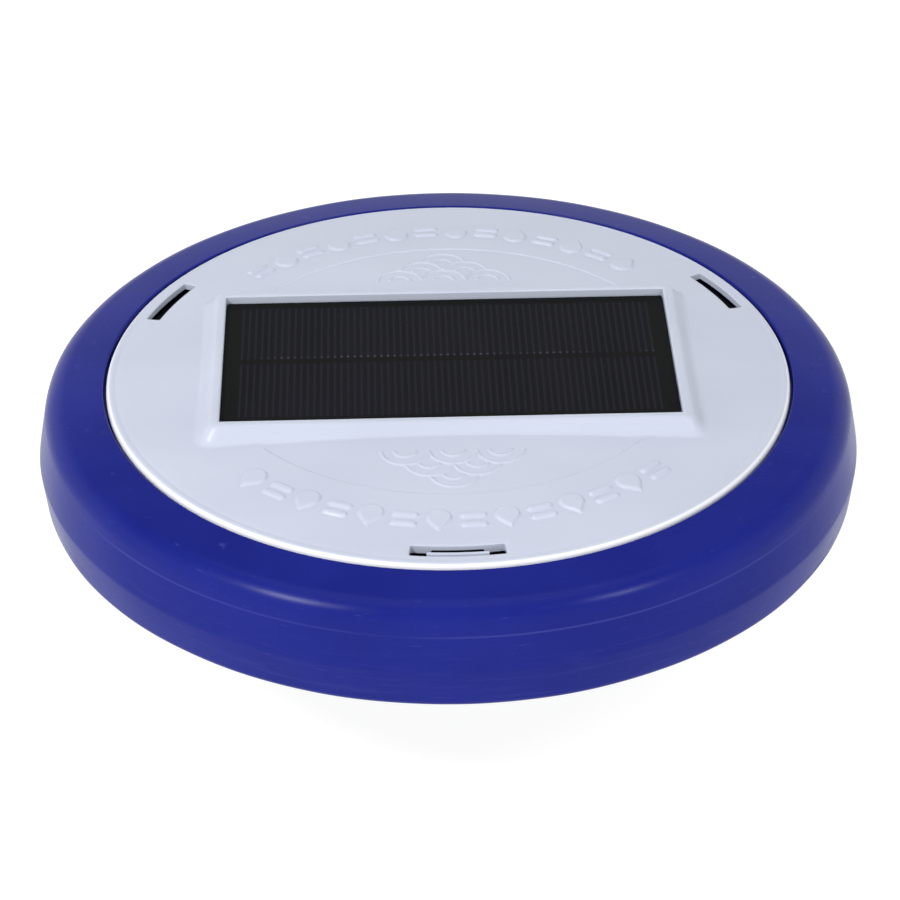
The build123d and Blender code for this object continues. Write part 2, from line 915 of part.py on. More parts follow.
board_top = standoff_high + board_thickness
pole_places = [(index - (pole_count - 1) / 2) * pole_pitch for index in range(pole_count)]
block_face = board_centre_x - board_length / 2 + block_inset
block_x = block_face + block_depth / 2
capacitor_places = [(board_centre_x + offset, component_row) for offset in capacitor_offsets]
chip_place = (board_centre_x + chip_offset, -component_row)
diode_x = board_centre_x + diode_offset
diode_axis = board_top + diode_radius

with BuildPart() as circuit_board:
    block([(board_centre_x, 0)], board_length, board_width, standoff_high, board_top)
    spots(
        board_places, board_screw_radius + fit_gap, standoff_high, board_top, Mode.SUBTRACT
    )
save(circuit_board, "circuit_board")

with BuildPart() as board_screws:
    spots(board_places, board_head_radius, board_top, board_top + board_head_height)
    spots(board_places, board_screw_radius, floor_top + board_screw_end_gap, board_top)
save(board_screws, "board_screws")

with BuildPart() as regulator_chip:
    block([chip_place], chip_size, chip_size, board_top, board_top + chip_height)
save(regulator_chip, "regulator_chip")

with BuildPart() as smoothing_capacitors:
    spots(capacitor_places, capacitor_radius, board_top, board_top + capacitor_height)
save(smoothing_capacitors, "smoothing_capacitors")

with BuildPart() as blocking_diode:
    with Locations((diode_x, -component_row, diode_axis)):
        Cylinder(diode_radius, diode_length, rotation=(0, 90, 0))
        Cylinder(diode_lead_radius, diode_lead_span, rotation=(0, 90, 0))
    block(
        [(diode_x + side * diode_lead_span / 2, -component_row) for side in (-1, 1)],
        diode_foot,
        diode_foot,
        board_top,
        diode_axis,
    )
save(blocking_diode, "blocking_diode")

with BuildPart() as terminal_block:
    block([(block_x, 0)], block_depth, block_length, board_top, board_top + block_height)
    spots(
        [(block_x, pole) for pole in pole_places],
        pole_radius,
        board_top + block_height - pole_depth,
        board_top + block_height,
        Mode.SUBTRACT,
    )
save(terminal_block, "terminal_block")

# ---------------------------------------------------------------- wiring

entry_height = board_top + lead_entry_rise
panel_solder = backplate_low
wire_drop = tray_low - lead_drop
grommet_low = tray_low - grommet_flange_thickness


def wire(route, bends):
    """A round wire along straight runs joined by tangent arcs."""
    with BuildLine() as path:
        FilletPolyline(*route, radius=bends)
    line = path.wires()[0]
    with BuildSketch(Plane(origin=line @ 0, z_dir=line % 0)) as section:
        Circle(wire_radius)
    sweep(section.sketch, path=line)


lead_places = [
    (grommet_place[0], grommet_place[1] - lead_spacing / 2),
    (grommet_place[0], grommet_place[1] + lead_spacing / 2),
]

with BuildPart() as lead_grommet:
    spots([grommet_place], grommet_flange_radius, grommet_low, tray_low)
    spots([grommet_place], grommet_radius, tray_low, tray_top)
    spots(lead_places, wire_radius + thread_gap, grommet_low, tray_top, Mode.SUBTRACT)
save(lead_grommet, "lead_grommet")

def panel_lead(index):
    """One of the panel's two leads, from its grommet to its pole of the block."""
    wire(
        [
            (*lead_places[index], panel_solder),
            (*lead_places[index], wire_drop),
            (0, lead_crest_rows[index], entry_height + lead_crest_rise),
            (lead_turn_x, pole_places[index], entry_height),
            (block_face, pole_places[index], entry_height),
        ],
        lead_bends,
    )


with BuildPart() as panel_lead_positive:
    panel_lead(0)
save(panel_lead_positive, "panel_lead_positive")

with BuildPart() as panel_lead_negative:
    panel_lead(1)
save(panel_lead_negative, "panel_lead_negative")

anode_lead_bend = terminal_tail + anode_lead_run
cathode_lead_bend = cathode_tail + cathode_lead_run

with BuildPart() as anode_lead:
    wire(
        [
            (terminal_tail, 0, terminal_middle),
            (anode_lead_bend, 0, terminal_middle),
            (anode_lead_bend - anode_lead_lean, pole_places[2], entry_height),
            (block_face, pole_places[2], entry_height),
        ],
        (short_bend, short_bend),
    )
save(anode_lead, "anode_lead")

with BuildPart() as cathode_lead:
    wire(
        [
            (cathode_tail, spring_radius, terminal_middle),
            (cathode_lead_bend, spring_radius, terminal_middle),
            (
                cathode_lead_bend + cathode_lead_lean,
                spring_radius - cathode_lead_step,
                terminal_middle + cathode_lead_step,
            ),
            (terminal_tail + cathode_lead_turn, pole_places[3], entry_height),
            (block_face, pole_places[3], entry_height),
        ],
        (short_bend, long_bend, short_bend),
    )
save(cathode_lead, "cathode_lead")

# ---------------------------------------------------------------- basket and knob

flange_low = basket_top - basket_flange_thickness
hub_bore = bolt_radius + hub_bore_gap
slot_low = basket_floor + basket_slot_end
slot_high = flange_low - basket_slot_end
slot_circle = (basket_top_radius + basket_foot_radius - basket_wall) / 2
slot_depth = basket_top_radius - basket_foot_radius + 3 * basket_wall
foot_slot_circle = (hub_recess_radius + basket_foot_radius) / 2
hub_slot_inner = washer_plate_radius + hub_slot_washer_gap
hub_slot_outer = hub_recess_radius - hub_slot_edge
hub_slot_length = hub_slot_outer - hub_slot_inner
hub_slot_circle = (hub_slot_outer + hub_slot_inner) / 2

with BuildPart() as basket:
    turned(
        [
            (hub_bore, plate_top),
            (hub_recess_radius, plate_top),
            (hub_recess_radius, 0),
            (basket_foot_radius, 0),
            (basket_top_radius, flange_low),
            (basket_flange_radius, flange_low),
            (basket_flange_radius, basket_top),
            (basket_top_radius - basket_wall, basket_top),
            (basket_foot_radius - basket_wall, basket_floor),
            (hub_recess_radius + basket_wall, basket_floor),
            (hub_recess_radius + basket_wall, hub_top),
            (hub_bore, hub_top),
        ],
        [0, 0, 0, basket_foot_round, 0, 0, 0, 0, 0, 0, basket_hub_round, 0],
    )
    with BuildSketch(Plane.XY.offset(slot_low)):
        with PolarLocations(slot_circle, basket_slot_count):
            Rectangle(slot_depth, basket_slot_width)
    extrude(amount=slot_high - slot_low, mode=Mode.SUBTRACT)
    with BuildSketch():
        with PolarLocations(foot_slot_circle, basket_foot_slot_count, 180 / basket_foot_slot_count):
            SlotOverall(basket_foot_slot_length, basket_slot_width)
    extrude(amount=basket_floor, mode=Mode.SUBTRACT)
    with BuildSketch(Plane.XY.offset(plate_top)):
        with PolarLocations(hub_slot_circle, hub_slot_count):
            SlotOverall(hub_slot_length, basket_slot_width)
    extrude(amount=basket_floor, mode=Mode.SUBTRACT)
save(basket, "basket")

with BuildPart() as knob_washer:
    ring(washer_plate_radius, bolt_radius + running_gap, knob_top, plate_top)
save(knob_washer, "knob_washer")

with BuildPart() as basket_knob:
    with BuildSketch(Plane.XY.offset(knob_low)):
        Circle(knob_radius)
        with PolarLocations(knob_radius + knob_lobe_radius / 2, knob_lobe_count):
            Circle(knob_lobe_radius, mode=Mode.SUBTRACT)
    extrude(amount=knob_height)
    chamfer(basket_knob.faces().sort_by(Axis.Z)[0].edges(), length=knob_chamfer)
    ring(insert_radius, 0, knob_top - insert_depth, knob_top, Mode.SUBTRACT)
save(basket_knob, "basket_knob")

with BuildPart() as knob_insert:
    ring(insert_radius, bolt_radius + thread_gap, knob_top - insert_depth, knob_top)
save(knob_insert, "knob_insert")
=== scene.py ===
import json
import math

import bpy
import numpy as np
from mathutils import Matrix, Vector
from mathutils.geometry import delaunay_2d_cdt


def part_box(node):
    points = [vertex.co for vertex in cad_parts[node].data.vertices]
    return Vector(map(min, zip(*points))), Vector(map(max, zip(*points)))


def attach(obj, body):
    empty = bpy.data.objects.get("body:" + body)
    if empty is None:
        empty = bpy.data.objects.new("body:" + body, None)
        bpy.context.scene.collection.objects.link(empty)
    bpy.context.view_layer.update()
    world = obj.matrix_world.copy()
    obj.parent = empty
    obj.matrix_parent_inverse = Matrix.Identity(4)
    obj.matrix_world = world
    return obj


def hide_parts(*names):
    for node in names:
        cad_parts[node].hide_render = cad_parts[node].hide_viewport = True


# A floating solar pool ioniser: a blue float ring round a pale domed cover with a
# recessed solar panel, over a copper anode in a slotted basket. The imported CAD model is
# the frame. Mesh code works in millimetres, with heights above the float's top, and
# to_object() turns both into the frame's metres.

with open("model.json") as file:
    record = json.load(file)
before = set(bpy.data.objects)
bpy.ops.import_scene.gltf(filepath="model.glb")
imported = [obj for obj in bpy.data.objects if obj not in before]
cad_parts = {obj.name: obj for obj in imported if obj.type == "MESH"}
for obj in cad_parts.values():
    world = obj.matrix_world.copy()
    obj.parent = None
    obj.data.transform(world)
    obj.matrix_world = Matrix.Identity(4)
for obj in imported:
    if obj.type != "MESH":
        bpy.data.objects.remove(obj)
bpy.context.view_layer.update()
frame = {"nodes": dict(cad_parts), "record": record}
nodes = frame["nodes"]

MM = 0.001

# ------------------------------------------------------------------ camera

VIEW_AZIMUTH = math.radians(-1.4)
VIEW_ELEVATION = math.radians(31.56)
VIEW_ROLL = math.radians(-0.454)
VIEW_DISTANCE = 1.1868
VIEW_LENS = 125.9
# How far the middle of the picture lies from the middle of the cover
AIM_RIGHT = 0.00075
AIM_DOWN = 0.0297

# Heights above the float's top, in millimetres
PANEL_HEIGHT = 5.8
FRAME_TOP = 8.4
FOOT = -41.5
SEAM = -21.5
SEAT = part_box("top_cover")[1].z / MM - FRAME_TOP


def make_camera():
    """The camera, at the photograph's viewing angle."""
    flat = math.cos(VIEW_ELEVATION)
    back = Vector(
        (
            math.sin(VIEW_AZIMUTH) * flat,
            -math.cos(VIEW_AZIMUTH) * flat,
            math.sin(VIEW_ELEVATION),
        )
    )
    level = Vector((math.cos(VIEW_AZIMUTH), math.sin(VIEW_AZIMUTH), 0))
    right = Matrix.Rotation(VIEW_ROLL, 3, back) @ level
    up = back.cross(right)
    middle = Vector((0, 0, SEAT * MM))
    eye = middle + back * VIEW_DISTANCE
    aim = middle + right * AIM_RIGHT - up * AIM_DOWN
    back = (eye - aim).normalized()
    right = (right - back * right.dot(back)).normalized()
    turn = Matrix((right, back.cross(right), back)).transposed()
    data = bpy.data.cameras.new("camera")
    data.lens = VIEW_LENS
    camera = bpy.data.objects.new("camera", data)
    camera.matrix_world = Matrix.Translation(eye) @ turn.to_4x4()
    bpy.context.scene.collection.objects.link(camera)
    bpy.context.scene.camera = camera


make_camera()

# ------------------------------------------------------------------ materials


class Shade:
    """A material being built: a Principled shader and short calls that add nodes to it."""

    def __init__(self, name, **sockets):
        self.material = bpy.data.materials.new(name)
        self.material.use_nodes = True
        self.tree = self.material.node_tree
        self.shader = self.tree.nodes["Principled BSDF"]
        for socket, value in sockets.items():
            self.shader.inputs[socket.replace("_", " ")].default_value = value
        self.place = self.tree.nodes.new("ShaderNodeTexCoord").outputs["Object"]

    def feed(self, socket, value):
        """Links a node's output to a socket, or sets the socket to a plain value."""
        if isinstance(value, bpy.types.NodeSocket):
            self.tree.links.new(value, socket)
        elif value is not None:
            socket.default_value = value

    def math(self, operation, a, b=None, c=None, clamp=False):
        node = self.tree.nodes.new("ShaderNodeMath")
        node.operation = operation
        node.use_clamp = clamp
        for socket, value in zip(node.inputs, (a, b, c)):
            self.feed(socket, value)
        return node.outputs[0]

    def times(self, a, b):
        return self.math("MULTIPLY", a, b)
    def axes(self, vector=None):
        """The X, Y and Z of a vector, by default of the place on the object."""
        node = self.tree.nodes.new("ShaderNodeSeparateXYZ")
        self.feed(node.inputs[0], vector or self.place)
        return node.outputs

    def out(self):
        """The distance from the centre line."""
        x, y, _ = self.axes()
        return self.math("SQRT", self.math("ADD", self.times(x, x), self.times(y, y)))
    def vector(self, x, y, z):
        node = self.tree.nodes.new("ShaderNodeCombineXYZ")
        for socket, value in zip(node.inputs, (x, y, z)):
            self.feed(socket, value)
        return node.outputs[0]

    def stretched(self, x, y, z):
        """The place on the object, scaled along each axis."""
        node = self.tree.nodes.new("ShaderNodeMapping")
        self.feed(node.inputs["Vector"], self.place)
        node.inputs["Scale"].default_value = (x, y, z)
        return node.outputs[0]

    def noise(self, scale, detail=3.0, roughness=0.5, place=None):
        node = self.tree.nodes.new("ShaderNodeTexNoise")
        self.feed(node.inputs["Vector"], place or self.place)
        node.inputs["Scale"].default_value = scale
        node.inputs["Detail"].default_value = detail
        node.inputs["Roughness"].default_value = roughness
        return node.outputs[0]

    def specks(self, scale, place=None):
        """Distance to the nearest of scattered points, and a random value for each."""
        node = self.tree.nodes.new("ShaderNodeTexVoronoi")
        self.feed(node.inputs["Vector"], place or self.place)
        node.inputs["Scale"].default_value = scale
        return node.outputs["Distance"], self.axes(node.outputs["Color"])[0]

    def remap(self, value, low, high, to_low=0.0, to_high=1.0):
        """A value, moved from one range to another and kept inside it."""
        node = self.tree.nodes.new("ShaderNodeMapRange")
        for socket, given in zip(node.inputs, (value, low, high, to_low, to_high)):
            self.feed(socket, given)
        return node.outputs[0]

    def line(self, value, middle, core, edge):
        """1 within a core distance of a middle value, falling to 0 at the edge distance."""
        away = self.math("ABSOLUTE", self.math("SUBTRACT", value, middle))
        return self.remap(away, core, edge, 1.0, 0.0)
    def blend(self, share, a, b, mode="MIX"):
        """Two colours mixed by a share."""
        node = self.tree.nodes.new("ShaderNodeMix")
        node.data_type = "RGBA"
        node.blend_type = mode
        self.feed(node.inputs[0], share)
        for socket, value in ((node.inputs[6], a), (node.inputs[7], b)):
            self.feed(socket, (*value, 1.0) if isinstance(value, tuple) else value)
        return node.outputs[2]

    def bump(self, height, depth, below=None):
        """A bump whose height runs from 0 to depth, in metres, over another bump."""
        node = self.tree.nodes.new("ShaderNodeBump")
        node.inputs["Distance"].default_value = depth
        self.feed(node.inputs["Height"], height)
        self.feed(node.inputs["Normal"], below)
        return node.outputs[0]

    def paint(self, colour=None, roughness=None, normal=None):
        """Links the finished colour, roughness and bump to the shader."""
        self.feed(self.shader.inputs["Base Color"], colour)
        self.feed(self.shader.inputs["Roughness"], roughness)
        self.feed(self.shader.inputs["Normal"], normal)
        return self.material


PARTING_HEIGHT = -0.0125
RUB_TOP, RUB_FULL = -0.012, -0.034
# Painted shade: the bore and the ledge are painted nearly black inside this distance, so that the
# windows look dark
BORE_PAINTED_SHADE = (0.1262, 0.1275)


def float_plastic():
    """Blue polyethylene: mottled, with rubbed streaks that run round the lower edge, a painted
    highlight along the parting height and painted shade that turns the bore nearly black.
    """
    shade = Shade("float_plastic", Specular_IOR_Level=0.09)
    x, y, z = shade.axes()
    angle = shade.math("ARCTAN2", y, x)
    height = shade.math("SUBTRACT", z, SEAT * MM)
    long_way = shade.vector(shade.times(angle, 1.6), shade.times(height, 120), 0.0)
    thin_way = shade.vector(shade.times(angle, 22.0), shade.times(height, 1500), 0.0)
    mottle = shade.noise(24.0, 4.0)
    cloud = shade.noise(9.0, 2.0)
    grain = shade.noise(900.0, 2.0)
    streak = shade.noise(3.2, 5.0, 0.62, long_way)
    fine_line = shade.noise(1.0, 2.0, 0.5, thin_way)
    scratch = shade.times(shade.remap(fine_line, 0.66, 0.76), shade.remap(streak, 0.42, 0.60))
    # Painted highlight: a lighter, broken line at the parting height, standing in for light on the
    # parting ridge
    parting_highlight = shade.line(height, PARTING_HEIGHT, 0.00015, 0.00045)
    parting_highlight = shade.times(parting_highlight, shade.remap(cloud, 0.40, 0.60))
    rub = shade.times(shade.remap(streak, 0.52, 0.74), shade.remap(height, RUB_TOP, RUB_FULL))
    tone = shade.remap(mottle, 0.3, 0.7)
    colour = shade.blend(tone, (0.0085, 0.0145, 0.180), (0.0125, 0.0195, 0.225))
    colour = shade.blend(shade.remap(cloud, 0.3, 0.7, 0.0, 0.45), colour, (0.0100, 0.0160, 0.195))
    colour = shade.blend(shade.times(rub, 0.45), colour, (0.030, 0.040, 0.25))
    colour = shade.blend(shade.times(scratch, 0.5), colour, (0.060, 0.075, 0.33))
    colour = shade.blend(shade.times(parting_highlight, 0.35), colour, (0.075, 0.09, 0.36))
    # Painted shade: the bore and the ledge turn nearly black inside the given distance from the
    # centre line
    inside = shade.remap(shade.out(), *BORE_PAINTED_SHADE, 1.0, 0.0)
    colour = shade.blend(inside, colour, (0.0015, 0.002, 0.012))
    roughness = shade.remap(mottle, 0.25, 0.75, 0.22, 0.32)
    roughness = shade.math("ADD", roughness, shade.times(rub, 0.18))
    normal = shade.bump(cloud, 0.0009)
    normal = shade.bump(mottle, 0.00022, normal)
    normal = shade.bump(grain, 0.000012, normal)
    return shade.paint(colour, roughness, normal)


# Painted highlight: the cover's outermost edge is painted paler, from the first distance to the
# second
RIM_PAINTED_HIGHLIGHT = (0.1271, 0.1276)


def cover_plastic():
    """Bluish white ABS: satin, with faint flow marks, a few dark specks and a painted highlight
    along its outermost edge.
    """
    shade = Shade("cover_plastic", Specular_IOR_Level=0.25)
    flow = shade.noise(11.0, 3.0, 0.5, shade.stretched(1.0, 2.2, 1.0))
    peel = shade.noise(420.0, 2.0)
    distance, chance = shade.specks(46.0)
    dots = shade.math("LESS_THAN", distance, shade.remap(chance, 0.955, 1.0, 0.0, 0.045))
    colour = shade.blend(shade.remap(flow, 0.3, 0.7), (0.520, 0.557, 0.665), (0.555, 0.592, 0.700))
    colour = shade.blend(shade.times(dots, 0.6), colour, (0.16, 0.16, 0.18))
    # Painted highlight: near white towards the cover's outermost edge
    edge = shade.remap(shade.out(), *RIM_PAINTED_HIGHLIGHT, 0.0, 0.9)
    colour = shade.blend(edge, colour, (0.93, 0.94, 0.96))
    roughness = shade.remap(flow, 0.25, 0.75, 0.30, 0.40)
    normal = shade.bump(flow, 0.00025)
    normal = shade.bump(peel, 0.000008, normal)
    return shade.paint(colour, roughness, normal)


FINGER_PITCH = 0.0025
# Where the cell's edge begins and ends, along each axis
CELL_X = (0.0782, 0.0779)
CELL_Y = (0.0392, 0.0389)
TICK_PLACE = 0.0026


def panel_surface():
    """A dark cell under clear resin: fine fingers, a busbar and a plain black margin."""
    shade = Shade("panel_surface", Specular_IOR_Level=0.03)
    x, y, _ = shade.axes()
    across = shade.math("ABSOLUTE", x)
    along = shade.math("ABSOLUTE", y)
    on_cell = shade.times(shade.remap(across, *CELL_X), shade.remap(along, *CELL_Y))
    wave = shade.math("PINGPONG", x, FINGER_PITCH / 2)
    finger = shade.remap(wave, 0.00015, 0.00065, 1.0, 0.0)
    busbar = shade.remap(along, 0.0014, 0.0021, 1.0, 0.0)
    tick_row = shade.line(y, TICK_PLACE, 0.0003, 0.0008)
    tint = shade.noise(30.0, 3.0, 0.6, shade.stretched(1.0, 0.25, 1.0))
    dust = shade.noise(900.0, 2.0)
    tone = shade.remap(tint, 0.35, 0.7)
    cell = shade.blend(tone, (0.0060, 0.0064, 0.0085), (0.0080, 0.0082, 0.0130))
    cell = shade.blend(shade.times(finger, 0.55), cell, (0.019, 0.019, 0.027))
    cell = shade.blend(shade.times(busbar, 0.8), cell, (0.0060, 0.0060, 0.0065))
    tick = shade.times(shade.times(finger, tick_row), shade.remap(tint, 0.40, 0.62, 0.0, 0.8))
    cell = shade.blend(tick, cell, (0.085, 0.085, 0.095))
    colour = shade.blend(on_cell, (0.0060, 0.0066, 0.0066), cell)
    colour = shade.blend(shade.remap(dust, 0.62, 0.80, 0.0, 0.05), colour, (0.2, 0.2, 0.21))
    roughness = shade.remap(tint, 0.3, 0.7, 0.24, 0.32)
    normal = shade.bump(shade.noise(60.0, 2.0), 0.00003)
    return shade.paint(colour, roughness, normal)


def grained(name, dark, light, scale, rough, grain, depth, stretch=1, metallic=0.0):
    """A material with two close colours, varied roughness and a fine grain."""
    shade = Shade(name, Metallic=metallic)
    place = shade.stretched(1, 1, stretch)
    tone = shade.noise(scale, 4.0, 0.55, place)
    fine = shade.noise(grain, 3.0, 0.5, place)
    colour = shade.blend(shade.remap(tone, 0.3, 0.7), dark, light)
    roughness = shade.remap(fine, 0.3, 0.7, *rough)
    return shade.paint(colour, roughness, shade.bump(fine, depth))


# Slot, dark and light colour, mottle's scale, roughness range, grain's scale and depth,
# and where they differ from a plain plastic the stretch along Z and the metallic value
GRAINED = (
    ("solar_cell", (0.012, 0.012, 0.018), (0.02, 0.02, 0.03), 60, (0.25, 0.35), 700, 2e-6),
    ("tinned_ribbon", (0.55, 0.55, 0.55), (0.7, 0.7, 0.7), 200, (0.25, 0.4), 1500, 4e-6, 1, 1.0),
    ("panel_board", (0.02, 0.022, 0.026), (0.03, 0.034, 0.04), 80, (0.4, 0.5), 1800, 8e-6),
    ("adhesive", (0.66, 0.66, 0.63), (0.74, 0.74, 0.72), 60, (0.45, 0.6), 500, 2e-5),
    ("black_rubber", (0.018, 0.018, 0.018), (0.03, 0.03, 0.03), 90, (0.6, 0.75), 1400, 1.5e-5),
    ("stainless", (0.50, 0.51, 0.52), (0.62, 0.62, 0.63), 120, (0.22, 0.36), 900, 4e-6, 6, 1.0),
    ("dish_plastic", (0.010, 0.010, 0.011), (0.016, 0.016, 0.018), 50, (0.45, 0.6), 900, 1.2e-5),
    ("copper", (0.55, 0.20, 0.105), (0.80, 0.36, 0.21), 55, (0.26, 0.42), 800, 6e-6, 5, 1.0),
    ("brass", (0.62, 0.42, 0.14), (0.74, 0.54, 0.22), 120, (0.25, 0.38), 900, 5e-6, 1, 1.0),
    ("insulator_plastic", (0.74, 0.73, 0.69), (0.80, 0.79, 0.75), 60, (0.4, 0.5), 900, 1e-5),
    ("knob_plastic", (0.0105, 0.013, 0.225), (0.0145, 0.0175, 0.28), 50, (0.36, 0.48), 900, 1.2e-5),
    ("circuit_green", (0.012, 0.10, 0.035), (0.02, 0.14, 0.05), 90, (0.3, 0.4), 1500, 8e-6),
    ("block_plastic", (0.02, 0.16, 0.05), (0.03, 0.20, 0.07), 70, (0.4, 0.5), 1200, 1e-5),
    ("black_epoxy", (0.015, 0.015, 0.016), (0.024, 0.024, 0.025), 200, (0.5, 0.65), 2200, 1.5e-5),
    ("wire_red", (0.38, 0.018, 0.015), (0.46, 0.028, 0.022), 120, (0.35, 0.45), 1400, 8e-6),
    ("wire_black", (0.016, 0.016, 0.017), (0.026, 0.026, 0.027), 120, (0.35, 0.45), 1400, 8e-6),
)

looks = {
    "float_plastic": float_plastic(),
    "cover_plastic": cover_plastic(),
    "panel_clear": panel_surface(),
}
looks.update({row[0]: grained(*row) for row in GRAINED})
for subpart in frame["record"]["subparts"]:
    mesh = nodes[subpart["node"]].data
    mesh.materials.clear()
    mesh.materials.append(looks[subpart["material_slot"]])

# ------------------------------------------------------------------ mesh helpers


def to_object(name, points, faces, body, node, slot, sharp=38.0):
    """A piece from points in millimetres above the seat. It stands for one CAD node."""
    mesh = bpy.data.meshes.new(name)
    places = (np.asarray(points, float) + (0.0, 0.0, SEAT)) * MM
    mesh.from_pydata(places.tolist(), [], faces)
    mesh.validate()
    mesh.polygons.foreach_set("use_smooth", [True] * len(mesh.polygons))
    mesh.set_sharp_from_angle(angle=math.radians(sharp))
    mesh.materials.append(looks[slot])
    piece = bpy.data.objects.new(name, mesh)
    bpy.context.scene.collection.objects.link(piece)
    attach(piece, body)
    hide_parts(node)


def quads(first, second):
    """Four-sided faces between two closed rows of vertex numbers."""
    return list(zip(first, first[1:] + first[:1], second[1:] + second[:1], second))


def rounded(outline, radii, steps=8):
    """A closed outline with its corners rounded."""
    made = []
    count = len(outline)
    for index, (corner, radius) in enumerate(zip(outline, radii)):
        corner = Vector(corner)
        if radius == 0:
            made.append(tuple(corner))
            continue
        to_last = (Vector(outline[index - 1]) - corner).normalized()
        to_next = (Vector(outline[(index + 1) % count]) - corner).normalized()
        half = to_last.angle(to_next) / 2
        middle = corner + (to_last + to_next).normalized() * (radius / math.sin(half))
        start = corner + to_last * (radius / math.tan(half)) - middle
        end = corner + to_next * (radius / math.tan(half)) - middle
        sweep = start.angle_signed(end)
        for step in range(steps + 1):
            turn = Matrix.Rotation(-sweep * step / steps, 2)
            made.append(tuple(middle + turn @ start))
    return made


def turned(outline, segments, shape=None):
    """Points and faces of a closed (radius, height) outline turned about the centre line."""
    angles = np.arange(segments) * (2 * math.pi / segments)
    radius, height = np.array(outline, float).T
    radius = np.repeat(radius[None, :], segments, 0)
    height = np.repeat(height[None, :], segments, 0)
    if shape:
        radius = shape(radius, height, angles[:, None])
    across, along = np.cos(angles)[:, None], np.sin(angles)[:, None]
    points = np.stack([radius * across, radius * along, height], -1)
    rows = len(outline)
    rings = np.arange(segments * rows).reshape(segments, rows).tolist()
    faces = []
    for ring, after in zip(rings, rings[1:] + rings[:1]):
        faces += quads(ring, after)
    return points.reshape(-1, 3), faces


# ------------------------------------------------------------------ float ring

FLOAT_SEGMENTS = 480

def slump(radius, height, angle):
    """The slight unevenness of a blown shell, always inwards, on its outside only."""
    outside = np.clip((radius - 137.0) / 12.0, 0.0, 1.0)
    swell = (
        np.sin(3 * angle + 0.7)
        + 0.7 * np.sin(5 * angle + 2.1 + height / 22.0)
        + 0.5 * np.sin(11 * angle + 4.0 - height / 13.0)
        + 0.35 * np.sin(23 * angle + 1.3 + height / 9.0)
    )
    return radius - outside * (0.30 + 0.115 * swell)


upper_outline = rounded(
    [
        (124.5, SEAM),
        (124.5, -3.4),
        (129.6, -3.4),
        (129.6, 0.0),
        (150.9, -3.0),
        (154.4, SEAM),
        (151.9, SEAM),
        (148.4, -5.5),
        (132.1, -2.5),
        (132.1, -5.9),
        (127.0, -5.9),
        (127.0, SEAM),
    ],
    [0, 0.2, 0.3, 0.6, 10.0, 0, 0, 7.5, 0, 0, 0, 0],
    16,
)
lower_outline = rounded(
    [
        (124.5, SEAM),
        (127.0, SEAM),
        (127.0, -36.5),
        (136.0, -36.5),
        (136.0, -39.0),
        (150.9, -39.0),
        (151.9, SEAM),
        (154.4, SEAM),
        (155.1, SEAM - 4.0),
        (153.4, FOOT),
        (133.5, FOOT),
        (133.5, -39.0),
        (124.5, -39.0),
    ],
    [0, 0, 0, 0, 0, 1.2, 0, 0, 6.0, 3.2, 0.5, 0, 0],
    10,
)
for name, outline in (("float_upper", upper_outline), ("float_lower", lower_outline)):
    points, faces = turned(outline, FLOAT_SEGMENTS, slump)
    to_object(name, points, faces, "float_head", name + "_shell", "float_plastic")

# ------------------------------------------------------------------ cover

COVER_RADIUS = 128.5
CROWN = 5.5
EDGE = 0.5
SKIN = 2.6
LEDGE = -3.4
FIELD_RADIUS = 88.0
FIELD_RECESS = 0.4
RIM_ROUND = 2.6
RIM_START = 124.6
RIM_SEGMENTS = 720
# The rim's groove, as (distance out, height) from where the rim starts
RIM_GROOVE = ((0.4, -0.10), (0.8, -0.04))
RIM_LIP = 0.10
RIM_FLAT = 1.7
RIM_STEPS = 12
POCKET = (84.5, 44.8)
STRIP = 3.4
SLOPE_RUN = 6.0
TRAY_TOP = 2.0
TRAY_LOW = 0.0
WINDOW_RADIUS = 120.2
WINDOW_HALF = 2.7
WINDOW_CORNER = 0.6
# Angle and half length of the front window and the two rear ones
WINDOWS = ((-90.0, 16.75), (27.0, 14.75), (153.0, 14.75))
# The front window's inner wall is deeper, except at the notch in its middle
NOTCH_HALF = 9.3
NOTCH_DEPTH = 1.9
COLLAR_DEPTH = 3.3
DOME_RADIUS = (COVER_RADIUS**2 + CROWN**2) / (2 * CROWN)
ORNAMENTS = 14
ORNAMENT_RADIUS = 103.5
ORNAMENT_SPREAD = 88.0
ORNAMENT_RELIEF = 0.9
DROP_NOSE, DROP_TIP = 4.6, 6.0
RIPPLE_HALF, RIPPLE_LENGTH, RIPPLE_SHIFT = 1.6, 3.2, 2.45
WAVE_ROWS = 3
WAVE_RADIUS = 9.3
WAVE_STEP = 7.0
WAVE_LINE = 1.4
WAVE_DISTANCE = 61.0
WAVE_RELIEF = 0.5
FAR = 1e3


def dome(radius):
    """Height of the cover's plain dome at a radius."""
    return EDGE + CROWN - DOME_RADIUS + np.sqrt(DOME_RADIUS**2 - radius**2)


def smoothstep(value, low, high):
    share = np.clip((value - low) / (high - low), 0.0, 1.0)
    return share * share * (3 - 2 * share)


def soft_max(a, b, size):
    """The larger of two heights, with the corner between them filled."""
    near = np.clip(size - np.abs(a - b), 0.0, None) / size
    return np.maximum(a, b) + near * near * size / 4


def window_gap(x, y):
    """Distance outside the nearest curved window, negative inside it."""
    radius = np.hypot(x, y)
    gap = np.full_like(radius, FAR)
    for angle, half_length in WINDOWS:
        turn = np.arctan2(y, x) - math.radians(angle)
        turn = np.abs((turn + math.pi) % (2 * math.pi) - math.pi)
        out = np.abs(radius - WINDOW_RADIUS) - (WINDOW_HALF - WINDOW_CORNER)
        along = turn * WINDOW_RADIUS - (half_length - WINDOW_CORNER)
        corner = np.hypot(np.maximum(out, 0), np.maximum(along, 0))
        gap = np.minimum(gap, corner + np.minimum(np.maximum(out, along), 0) - WINDOW_CORNER)
    return gap


